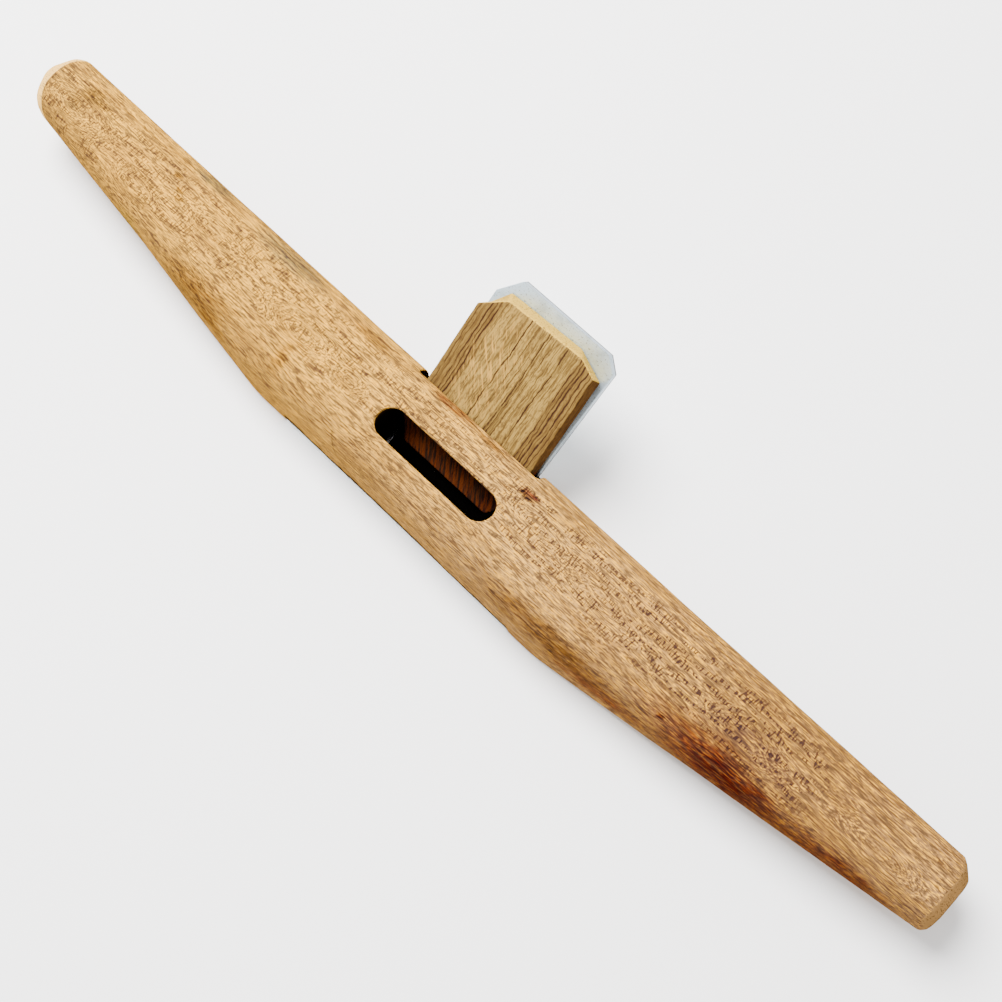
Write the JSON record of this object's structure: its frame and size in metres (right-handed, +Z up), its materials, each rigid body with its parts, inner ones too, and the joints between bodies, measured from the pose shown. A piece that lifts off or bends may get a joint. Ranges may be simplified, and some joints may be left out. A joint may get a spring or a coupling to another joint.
{
  "type": "wooden hand plane",
  "caption": "Two-handled wooden hand plane with a steel sole plate, a shavings slot, and a steel iron held on a sloping bed by a wooden wedge.",
  "frame": {"origin": "on the working face of the sole plate, at the middle of the body's length, in the middle of the land ahead of the mouth", "axes": "+X along the body towards the handle nearer the camera in the picture, +Y to the rear where the iron and wedge stand out, +Z up from the working face"},
  "size_m": [0.27, 0.0528, 0.0347],
  "materials": {
    "body_wood": "bare sanded light brown hardwood with fine dark pores",
    "wedge_wood": "bare sawn brown hardwood with dark wavy lines",
    "iron_steel": "satin pale grey tool steel",
    "plate_steel": "ground bright steel",
    "screw_steel": "plated steel"
  },
  "bodies": {
    "stock": {"body": "body_wood", "sole_plate": "plate_steel", "sole_screw_1": "screw_steel", "sole_screw_2": "screw_steel", "sole_screw_3": "screw_steel", "sole_screw_4": "screw_steel"},
    "cutter": {"iron": "iron_steel"},
    "holding_wedge": {"wedge": "wedge_wood"}
  },
  "joints": [
    {"name": "iron_slide", "type": "slide", "parent": "stock", "child": "cutter", "axis": [0, 0.7986, 0.6018], "range_m": [-0.0005, 0.03]},
    {"name": "wedge_slide", "type": "slide", "parent": "stock", "child": "holding_wedge", "axis": [0, 0.7986, 0.6018], "range_m": [0, 0.02]}
  ]
}
